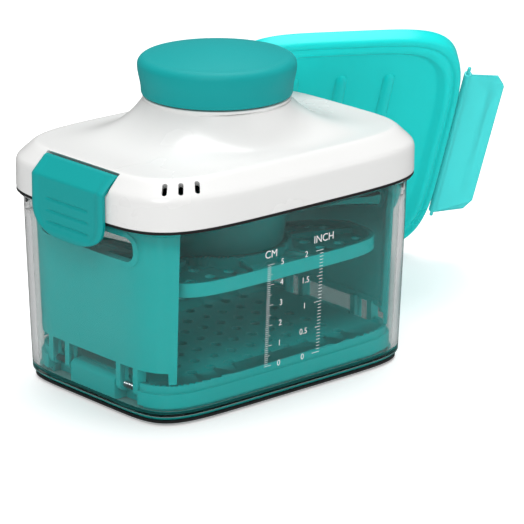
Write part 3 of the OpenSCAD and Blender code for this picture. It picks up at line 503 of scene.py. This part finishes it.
SLOT_LEN, SLOT_W, SLOT_TURNS, SLOT_INSETS = 6.6, 2.3, (42, 53, 63), (1.6, 6.3)
half = (SLOT_LEN - SLOT_W) / 2
rim = [(half + SLOT_W / 2 * math.cos(t), SLOT_W / 2 * math.sin(t)) for t in
       [math.radians(-90 + 18 * i) for i in range(11)]]
rim += [(-x, -y) for x, y in rim]
for turn in SLOT_TURNS:
    c, s = math.cos(math.radians(turn)), math.sin(math.radians(turn))
    outer, inner = [(-(LID_L / 2 - d) * c ** (2 / TOP_POWER), -(LID_W / 2 - d) * s ** (2 / TOP_POWER))
                    for d in SLOT_INSETS]
    middle = Vector(((outer[0] + inner[0]) / 2, (outer[1] + inner[1]) / 2,
                     CREASE_Z + (SHOULDER_Z - CREASE_Z) * 0.43))
    cutter = loft("slot", [[(x, y, z) for x, y in rim] for z in (-5, 5)])
    cutter.data.transform(Matrix.Translation(middle * MM)
                          @ Matrix.Rotation(math.atan2(outer[1] - inner[1], outer[0] - inner[0]), 4, "Z")
                          @ Matrix.Rotation(SLOPE, 4, "Y"))
    carve(lid, cutter, sharp=50)
hand_over(lid, white, "lid_shell")
print("lid faces", len(lid.data.polygons))

# %% [markdown]
# ## Knob
# The knob is a turned shape: a waist, a swelling side, a rounded edge and a low crown,
# in soft-touch teal over a white core. It is spun from one half outline.

# %% Knob
KNOB_Z, KNOB_H, WAIST_R, KNOB_R, CROWN_H, CROWN_R = 136.0, 22.3, 35.8, 37.5, 4.4, 33.0
CORE_R, CORE_TOP = 33.3, 150.3


def spin(name, profile, n=192, sharp=40):
    """Turns a half outline of (radius, z) pairs round the Z axis."""
    turns = [2 * math.pi * i / n for i in range(n)]
    rings = [[(max(r, 0.002) * math.cos(t), max(r, 0.002) * math.sin(t), z) for t in turns]
             for r, z in profile]
    return loft(name, rings, sharp=sharp)


widest, base = KNOB_Z + KNOB_H * 0.62, KNOB_Z + KNOB_H - CROWN_H
side_pts = [(WAIST_R - 0.9, KNOB_Z), (WAIST_R - 0.3, KNOB_Z + 0.25), (WAIST_R, KNOB_Z + 1.2)]
side_pts += [(WAIST_R + (KNOB_R - WAIST_R) * (1 - math.cos(math.pi * i / 16)) / 2,
              KNOB_Z + 1.5 + (widest - KNOB_Z - 1.5) * i / 16) for i in range(1, 17)]
side_pts += [(CROWN_R + (KNOB_R - CROWN_R) * math.cos(t), widest + (base - widest) * math.sin(t))
             for t in [math.radians(90 * i / 12) for i in range(1, 13)]]
side_pts += [(CROWN_R * (1 - i / 20), base + CROWN_H * (1 - (1 - i / 20) ** 2))
             for i in range(1, 21)]
under = [(0, CORE_TOP + 0.1), (CORE_R, CORE_TOP + 0.1), (CORE_R + 0.05, CORE_TOP),
         (CORE_R + 0.05, KNOB_Z)]
knob = spin("knob_grip_fine", under + side_pts)
hand_over(knob, grip_teal, "knob_grip")
for node, material in [("knob_core", white), ("knob_screw", steel), ("spindle", steel),
                       ("thrust_washer", pale), ("bearing_ring", white), ("press_nut", pale),
                       ("column_screws", steel), ("liner_screws", steel)]:
    hand_over(cad_copy(node), material, node)

# %% [markdown]
# ## Inside pieces
# The tray, its end flaps, the press plate with its column and the lid's liner are satin
# teal mouldings, and the seal and the base ring are black rubber. Their CAD solids
# already have every rib, hole and hinge, so each is a merged copy with smooth normals on
# its bowed walls. The seal's thin lip hangs just below the lid's edge, where the
# photograph shows a black line.

# %% Inside pieces
TRAY, FLAP, PLATE = (76.0, 52.1, BASE_POWER), (77.0, 53.0, 6.0), (65.2, 52.0, 6.0)
LINER, GASKET = (84.9, 60.7, TOP_POWER), (84.6, 60.7, TOP_POWER)
RING = (78.6, 54.7, BASE_POWER)
for node, material, outline in [("lifting_tray", teal, TRAY), ("end_flap_left", teal, FLAP),
                                ("end_flap_right", teal, FLAP), ("press_plate", teal, PLATE),
                                ("press_column", deep_teal, None), ("lid_liner", deep_teal, LINER),
                                ("lid_gasket", black, GASKET), ("base_ring", black, RING),
                                ("rubber_feet", foot, None)]:
    piece = cad_copy(node)
    if outline:
        bow_normals(piece, *outline)
    hand_over(piece, material, node)
for node in ("hinge_pin_left", "hinge_pin_right", "latch_pin_left", "latch_pin_right"):
    hand_over(cad_copy(node), steel, node)

LIP_UP, LIP_DOWN, LIP_OUTER, LIP_INNER = 0.35, 1.0, 0.08, 0.45
lip_rings = [ring(lid_outline(d), LID_Z + z) for d, z in
             ((LIP_OUTER, LIP_UP), (LIP_OUTER, -LIP_DOWN), (LIP_INNER, -LIP_DOWN), (LIP_INNER, LIP_UP))]
lip = loft("seal_lip", lip_rings, loop=True)
hand_over(lip, black, body="lid", slot="black_rubber")

# %% [markdown]
# ## Latches
# Each latch is one bent strip: a barrel on the hinge pin, a short slope down the
# shoulder, a bend and a hanging plate with a deep rounded end. Its long edges roll
# outwards for the fingers, and three shallow grooves give grip. It is lofted along its
# side path, and each cross-section knows how wide the strip is there.

# %% Latches
LATCH_T, BEND_Z, TIP_Z, BEND_R = 2.1, 108.12, 80.2, 2.2
END_H, END_POWER = 14.5, 2.6                         # the rounded lower end
ROLL_H, ROLL_IN, ROLL_SPREAD = 0.55, 2.6, 1.9        # the rolled long edges
GROOVES = [BEND_Z - 10 - 5.6 * k for k in range(3)]
GROOVE_REACH, GROOVE_FADE, GROOVE_DEEP, GROOVE_SPREAD = 15.6, 1.2, 0.6, 0.55
HOOK_Z, HOOK_IN, HOOK_W = 91.55, 2.3, 40.0


def latch_path():
    """Stations down the outer face: (x, z, outward normal x, outward normal z)."""
    c, s = math.cos(SLOPE), math.sin(SLOPE)
    start = (-(LATCH_U + BARREL_R * s), LATCH_Z + BARREL_R * c)
    cut = BEND_R * math.tan((math.pi / 2 - SLOPE) / 2)
    along = (LATCH_OUT + start[0]) / c
    stations = []
    for d in [(along - cut) * i / 8 for i in range(9)]:
        stations.append((start[0] - d * c, start[1] - d * s, -s, c))
    bend = (BEND_R - LATCH_OUT, start[1] - along * s - cut)
    first = math.atan2(c, -s)
    for t in [first + (math.pi - first) * i / 8 for i in range(1, 9)]:
        stations.append((bend[0] + BEND_R * math.cos(t), bend[1] + BEND_R * math.sin(t),
                         math.cos(t), math.sin(t)))
    top_z = stations[-1][1]
    for u in [i / 96 for i in range(1, 97)]:         # closer together near the tip
        stations.append((-LATCH_OUT, top_z + (TIP_Z + 0.02 - top_z) * (1 - (1 - u) ** 1.25), -1, 0))
    return stations


def latch_half_width(z):
    u = max(0, (TIP_Z + END_H - z) / END_H)
    return LATCH_W / 2 * max(0.02, (1 - u ** END_POWER)) ** (1 / END_POWER)


def latch_relief(y, z, half_w):
    """How far the outer face stands out: rolled edges less the grooves."""
    from_edge = min(half_w - abs(y), z - TIP_Z)
    if from_edge > ROLL_IN:
        roll = ROLL_H * math.exp(-((from_edge - ROLL_IN) / ROLL_SPREAD) ** 2)
    else:
        roll = ROLL_H * (1 - ((ROLL_IN - from_edge) / ROLL_IN) ** 2.2 * 1.5)
    fade = max(0, min(1, (GROOVE_REACH - abs(y)) / GROOVE_FADE))
    return roll - sum(GROOVE_DEEP * fade * math.exp(-((z - g) / GROOVE_SPREAD) ** 2) for g in GROOVES)


def latch_section(x, z, nx, nz, n=64):
    w = latch_half_width(z)
    outer = []
    for y in [-w + 2 * w * i / n for i in range(n + 1)]:
        out = latch_relief(y, z, w)
        outer.append((x + nx * out, y, z + nz * out))
    inner = [(x - nx * LATCH_T, -w + 0.5 + (2 * w - 1) * i / n, z - nz * LATCH_T)
             for i in range(n, -1, -1)]
    return outer + inner


def latch_barrel(n=40, edge=0.4):
    half = LATCH_W / 2
    turns = [2 * math.pi * i / n for i in range(n)]
    return [[(-LATCH_U + r * math.cos(t), y, LATCH_Z + r * math.sin(t)) for t in turns]
            for r, y in ((BARREL_R - edge, -half), (BARREL_R, edge - half), (BARREL_R, half - edge),
                         (BARREL_R - edge, half))]


hook_x = -LATCH_OUT + LATCH_T - 0.2
hook_outline = [(hook_x, HOOK_Z - 4.4), (hook_x + 0.2, HOOK_Z - 4.4),
                (hook_x + HOOK_IN, HOOK_Z - 1.4), (hook_x + HOOK_IN, HOOK_Z), (hook_x, HOOK_Z)]
for node, side in (("latch_left", -1), ("latch_right", 1)):
    strip = loft("strip", [latch_section(*s) for s in latch_path()], sharp=55)
    join(strip, loft("barrel", latch_barrel(), sharp=40), prism("hook", hook_outline, HOOK_W / 2))
    strip.name = node + "_fine"
    if side > 0:
        bm = bmesh.new()
        bm.from_mesh(strip.data)
        bmesh.ops.scale(bm, vec=(-1, 1, 1), verts=bm.verts)
        bmesh.ops.reverse_faces(bm, faces=bm.faces)
        bm.to_mesh(strip.data)
        bm.free()
        shade(strip.data, 50)
    hand_over(strip, latch_teal, node)

# %% [markdown]
# ## Storage cover
# The loose cover is a thin translucent moulding: a double raised rim round a recessed
# panel with three ribs, and a flat clip hinged along each long side. It is lofted lying
# flat and then stood up, turned and leant, as someone would prop it against the press.

# %% Storage cover
COVER_A, COVER_B, COVER_H, COVER_T = LID_W / 2, LID_L / 2, 9.0, 1.9
COVER_RIM, COVER_DIP = 9.0, 3.0
COVER_LEAN, COVER_YAW = 36.0, -30.3
COVER_PLACE = (150.096, 102.259, -1.10985)
STANDING = (Matrix.Translation(Vector(COVER_PLACE) * MM)
            @ Matrix.Rotation(math.radians(COVER_YAW), 4, "Z")
            @ Matrix.Rotation(math.radians(90 + COVER_LEAN), 4, "X")
            @ Matrix.Translation(Vector((0, COVER_B, -COVER_H)) * MM))
panel = COVER_H - COVER_DIP
cover_in = [(COVER_RIM + 9, panel - COVER_T), (COVER_RIM + 3.4, panel - COVER_T),
            (COVER_RIM + 1.2, panel - COVER_T), (COVER_RIM - 1.4, COVER_H - COVER_T - 0.6),
            (COVER_T + 1.5, COVER_H - COVER_T - 0.6), (COVER_T + 0.1, COVER_H - COVER_T - 2),
            (COVER_T, 1.0), (COVER_T, 0)]
cover_out = [(0, 0), (0, 1), (0, COVER_H - 2.4), (0.5, COVER_H - 1.2), (1.4, COVER_H - 0.6),
             (3.0, COVER_H - 0.6), (3.8, COVER_H - 1.3), (4.6, COVER_H - 1.3), (5.4, COVER_H - 0.5),
             (6.2, COVER_H), (COVER_RIM - 1.2, COVER_H), (COVER_RIM - 0.2, COVER_H - 0.6),
             (COVER_RIM + 1.9, panel + 0.5), (COVER_RIM + 3, panel), (COVER_RIM + 9, panel)]
profile = smooth_corners(cover_in, 1) + smooth_corners(cover_out, 2)
cover_rings = [ring(oval(COVER_A - d, COVER_B - d, TOP_POWER), z) for d, z in profile]
cover = loft("storage_cover_fine", cover_rings, sharp=50)

# %% [markdown]
# The three ribs repeat, so Geometry Nodes make them: a line of points across the panel,
# with one rounded rib instanced on each. The tree's named inputs give the count, the
# spacing and the rib's own sizes.

# %% Ribs with Geometry Nodes
def paint_copies(tree, points, piece, material, **more):
    """One piece on each point, as real painted meshes, sent out of the tree."""
    copies = add_node(tree, "GeometryNodeInstanceOnPoints", {"Points": points, "Instance": piece, **more})
    real = add_node(tree, "GeometryNodeRealizeInstances", {0: copies.outputs[0]})
    paint = add_node(tree, "GeometryNodeSetMaterial", {"Geometry": real.outputs[0], "Material": material})
    add_node(tree, "NodeGroupOutput", {"Geometry": paint.outputs[0]})


def ribs_tree():
    t = bpy.data.node_groups.new("ribs_in_a_row", "GeometryNodeTree")
    add_sockets(t, "OUTPUT", ("Geometry", "Geometry"))
    add_sockets(t, "INPUT", ("Count", "Int", 3), ("Spacing", "Float", 0.024), ("Length", "Float", 0.12),
                ("Radius", "Float", 0.003), ("Flatten", "Float", 0.6), ("Material", "Material"))
    given = add_node(t, "NodeGroupInput").outputs

    def vector(**parts):
        return add_node(t, "ShaderNodeCombineXYZ", parts).outputs[0]

    span = maths(t, "MULTIPLY", maths(t, "SUBTRACT", given["Count"], 1), given["Spacing"])
    line = add_node(t, "GeometryNodeMeshLine", {"Count": given["Count"],
                                                "Start Location": vector(X=maths(t, "MULTIPLY", span, -0.5)),
                                                "Offset": vector(X=given["Spacing"])}, mode="OFFSET")
    reach = maths(t, "MULTIPLY", given["Length"], 0.5)
    spine = add_node(t, "GeometryNodeCurvePrimitiveLine", {"Start": vector(Y=maths(t, "MULTIPLY", reach, -1)),
                                                           "End": vector(Y=reach)})
    dense = add_node(t, "GeometryNodeResampleCurve", {"Curve": spine.outputs[0], "Count": 60})
    # size = sqrt(1 - |2f - 1|^40): round ends on a straight bar
    along = add_node(t, "GeometryNodeSplineParameter").outputs["Factor"]
    off_middle = maths(t, "ABSOLUTE", maths(t, "MULTIPLY_ADD", along, 2, -1))
    size = maths(t, "SQRT", maths(t, "SUBTRACT", 1.0001, maths(t, "POWER", off_middle, 40)))
    circle = add_node(t, "GeometryNodeCurvePrimitiveCircle", {"Resolution": 20, "Radius": given["Radius"]})
    tube = add_node(t, "GeometryNodeCurveToMesh", {"Curve": dense.outputs[0], "Scale": size,
                                                   "Profile Curve": circle.outputs["Curve"],
                                                   "Fill Caps": True})
    squash = add_node(t, "GeometryNodeTransform", {"Geometry": tube.outputs[0],
                                                   "Scale": vector(X=1, Y=1, Z=given["Flatten"])})
    paint_copies(t, line.outputs[0], squash.outputs[0], given["Material"])
    return t


def run_tree(name, tree, **inputs):
    """A plain mesh object from a Geometry Nodes tree and its named inputs."""
    obj = bpy.data.objects.new(name, bpy.data.meshes.new(name))
    scene.collection.objects.link(obj)
    mod = obj.modifiers.new("tree", "NODES")
    mod.node_group = tree
    for item in tree.interface.items_tree:
        if item.in_out == "INPUT" and item.name.replace(" ", "_") in inputs:
            mod[item.identifier] = inputs[item.name.replace(" ", "_")]
    bpy.context.view_layer.update()
    apply_modifiers(obj)
    return obj


ribs = run_tree("cover_ribs", ribs_tree(), Count=3, Spacing=0.0245, Length=0.122, Radius=0.0031,
                Flatten=0.62, Material=aqua)
ribs.data.transform(Matrix.Translation((0, 0, (panel - 0.3) * MM)))
shade(ribs.data, 60)
print("rib faces", len(ribs.data.polygons))

# %% Stand the cover up
for piece in (cover, ribs):
    piece.data.transform(STANDING)
hand_over(ribs, aqua, body="cover", slot="aqua_plastic")
hand_over(cover, aqua, "storage_cover")
for node in ("storage_clip_left", "storage_clip_right", "clip_pin_left", "clip_pin_right"):
    hand_over(cad_copy(node), aqua_clip, node)
hand_over(cad_copy("storage_gasket"), seal, "storage_gasket")

# %% [markdown]
# ## Printed scale
# The front wall has a white centimetre scale with millimetre ticks and an inch scale
# beside it. The ticks repeat, so a Geometry Nodes tree sets them out; the numbers are
# text turned into thin meshes. Both are laid on the wall's curved surface.

# %% Ticks with Geometry Nodes
def ticks_tree():
    t = bpy.data.node_groups.new("ruler_ticks", "GeometryNodeTree")
    add_sockets(t, "OUTPUT", ("Geometry", "Geometry"))
    add_sockets(t, "INPUT", ("Count", "Int"), ("Step", "Float"), ("Long every", "Int"),
                ("Middle every", "Int"), ("Short", "Float"), ("Growth", "Float"), ("Line", "Float"),
                ("Material", "Material"))
    given = add_node(t, "NodeGroupInput").outputs
    up = add_node(t, "ShaderNodeCombineXYZ", {"Z": given["Step"]})
    line = add_node(t, "GeometryNodeMeshLine", {"Count": given["Count"], "Offset": up.outputs[0]},
                    mode="OFFSET")
    index = add_node(t, "GeometryNodeInputIndex").outputs[0]

    def every(socket):
        return maths(t, "LESS_THAN", maths(t, "MODULO", index, socket), 0.5)

    both = maths(t, "ADD", every(given["Long every"]), every(given["Middle every"]))
    length = maths(t, "MULTIPLY", maths(t, "MULTIPLY_ADD", both, given["Growth"], 1), given["Short"])
    scale = add_node(t, "ShaderNodeCombineXYZ", {"X": length, "Y": 1, "Z": given["Line"]})
    bar = add_node(t, "GeometryNodeMeshCube", {"Size": (1, 0.00006, 1)})
    slide = add_node(t, "GeometryNodeTransform", {"Geometry": bar.outputs["Mesh"],
                                                  "Translation": (0.5, 0, 0)})
    paint_copies(t, line.outputs[0], slide.outputs[0], given["Material"], Scale=scale.outputs[0])
    return t


# %% Scale on the wall
SCALE_ZERO, CM_X, INCH_X = 18.8, -19.8, 14.7
INCH, DIGIT_H, HEADING_H = 25.4, 4.1, 5.2
ticks = ticks_tree()
cm_ticks = run_tree("cm_ticks", ticks, Count=51, Step=0.001, Long_every=10, Middle_every=5,
                    Short=0.0021, Growth=0.5, Line=0.0002, Material=ink)
cm_ticks.data.transform(Matrix.Translation((CM_X * MM, 0, SCALE_ZERO * MM)))
inch_ticks = run_tree("inch_ticks", ticks, Count=33, Step=INCH / 16 * MM, Long_every=16, Middle_every=8,
                      Short=0.0021, Growth=0.6, Line=0.00024, Material=ink)
inch_ticks.data.transform(Matrix.Translation((INCH_X * MM, 0, SCALE_ZERO * MM))
                          @ Matrix.Scale(-1, 4, (1, 0, 0)))
inch_ticks.data.flip_normals()


def words(text, x, z, height, align="LEFT"):
    curve = bpy.data.curves.new("mark_" + text.replace(" ", "_"), "FONT")
    curve.body, curve.size, curve.extrude = text, height * MM, 0.00003
    curve.align_x, curve.align_y = align, "CENTER"
    obj = bpy.data.objects.new(curve.name, curve)
    scene.collection.objects.link(obj)
    bpy.context.view_layer.update()
    mesh = bpy.data.meshes.new_from_object(obj.evaluated_get(bpy.context.evaluated_depsgraph_get()))
    bpy.data.objects.remove(obj)
    mesh.transform(Matrix.Translation((x * MM, 0, z * MM)) @ Matrix.Rotation(math.pi / 2, 4, "X"))
    done = bpy.data.objects.new(curve.name, mesh)
    scene.collection.objects.link(done)
    return done


marks = [words(str(n), CM_X + 8.0, SCALE_ZERO + 10 * n, DIGIT_H) for n in range(6)]
marks += [words(s, INCH_X - 10.6, SCALE_ZERO + INCH / 2 * i - 0.4, DIGIT_H, "CENTER")
          for i, s in enumerate(("0", "0.5", "1", "1.5", "2"))]
marks += [words("CM", CM_X - 2.0, SCALE_ZERO + 55.0, HEADING_H),
          words("INCH", INCH_X + 6.4, SCALE_ZERO + 56.4, HEADING_H, "RIGHT")]
join(cm_ticks, inch_ticks, *marks)
cm_ticks.name = "printed_scale"
for v in cm_ticks.data.vertices:
    a, b, power = tub_sizes(v.co.z / MM, 0)
    wall = b * (1 - abs(v.co.x / MM / a) ** power) ** (1 / power)
    v.co.y += -(wall + 0.04) * MM
hand_over(cm_ticks, ink, body="container", slot="white_plastic")

# %% [markdown]
# ## Stage
# The photograph has a plain white ground and soft light from all round. A pale floor
# takes the object's shadow, a large soft lamp stands to the left and above, and the
# world fills in the rest. Only what looks straight at the world sees it as white. The
# floor is lifted to white for the camera alone, and stays out of reflections, so that
# the clear walls aren't veiled by it.

# %% Floor and light
def inner_mirror(tree, path):
    """1 where a ray was reflected, and less within the one clear wall it just crossed."""
    met = maths(tree, "MINIMUM", path["Glossy Depth"], 1.0)
    one_wall = maths(tree, "COMPARE", path["Transmission Depth"], 2.0, 0.5)
    return maths(tree, "MULTIPLY_ADD", one_wall, -0.6, met, use_clamp=True)


FLOOR_HALF = 9000
floor = mesh_object("floor", [(-FLOOR_HALF, -FLOOR_HALF, 0), (FLOOR_HALF, -FLOOR_HALF, 0),
                              (FLOOR_HALF, FLOOR_HALF, 0), (-FLOOR_HALF, FLOOR_HALF, 0)],
                    [(0, 1, 2, 3)])
floor_mat = plastic("floor_white", (0.93, 0.93, 0.93), 0.7, variation=0.0, depth=0.0)
tree = floor_mat.node_tree
shader = tree.nodes["Principled BSDF"]
on_floor = add_node(tree, "ShaderNodeLightPath").outputs
tree.links.new(maths(tree, "MULTIPLY", on_floor["Is Camera Ray"], 0.3), shader.inputs["Emission Strength"])
shader.inputs["Emission Color"].default_value = (1, 1, 1, 1)
dim = add_node(tree, "ShaderNodeMapRange",           # darker in reflections
               {"Value": inner_mirror(tree, on_floor), "To Min": 0.93, "To Max": 0.12})
tree.links.new(dim.outputs[0], shader.inputs["Base Color"])
floor.data.materials.append(floor_mat)
floor.visible_glossy = False


def area_lamp(name, place, aim, size, power):
    data = bpy.data.lights.new(name, "AREA")
    data.shape, data.size, data.energy = "DISK", size, power
    lamp = bpy.data.objects.new(name, data)
    lamp.location = place
    lamp.rotation_euler = (Vector(aim) - Vector(place)).to_track_quat("-Z", "Y").to_euler()
    scene.collection.objects.link(lamp)
    return lamp


area_lamp("key", (-1.1, -0.9, 1.3), (0, 0, 0.06), 0.9, 12)
area_lamp("top", (0.3, 0.2, 1.6), (0, 0, 0.06), 1.2, 16.5)
area_lamp("fill", (1.0, -1.3, 0.7), (0, 0, 0.06), 1.0, 2.5)
world = bpy.data.worlds.new("studio")
scene.world = world
world.use_nodes = True
tree = world.node_tree
path = add_node(tree, "ShaderNodeLightPath").outputs
mirrored = inner_mirror(tree, path)
through = maths(tree, "SUBTRACT", path["Is Transmission Ray"], mirrored)
seen = maths(tree, "MAXIMUM", path["Is Camera Ray"], through)
lit = add_node(tree, "ShaderNodeMapRange",           # soft light, and faint reflections
               {"Value": mirrored, "To Min": 0.45, "To Max": 0.15})
level = add_node(tree, "ShaderNodeMix", {0: seen, 2: lit.outputs[0], 3: 1.0})
background = tree.nodes["Background"]
background.inputs["Color"].default_value = (1, 1, 1, 1)
tree.links.new(level.outputs[0], background.inputs["Strength"])

# %% [markdown]
# The camera stands where the photograph was taken from: well back, a little above the
# lid, looking at the corner between the latch's end and the scale's side, through a
# long lens. Its place comes from fitting the container's edges and the knob.

# %% Camera
cam_data = bpy.data.cameras.new("camera")
cam_data.lens, cam_data.sensor_width = 212.15, 36
cam_data.clip_end = 30
cam = bpy.data.objects.new("camera", cam_data)
scene.collection.objects.link(cam)
scene.camera = cam
FOCAL_PX, CENTRE, PRINCIPAL = 3088, 262, (216.9, 274.1)        # the fitted camera, in pixels
CAM_PLACE = (-0.9154, -1.0659, 0.4972)
right, up, back = (Vector((0.7586, -0.6515, 0)), Vector((0.199, 0.2318, 0.952)),
                   Vector((-0.62, -0.722, 0.3055)))
look = (-back * FOCAL_PX + right * (CENTRE - PRINCIPAL[0]) + up * (PRINCIPAL[1] - CENTRE)).normalized()
across = (right - right.dot(look) * look).normalized()
above = across.cross(look).normalized()
turn = Matrix((across, above, -look)).transposed().to_4x4()
cam.matrix_world = Matrix.Translation(CAM_PLACE) @ turn
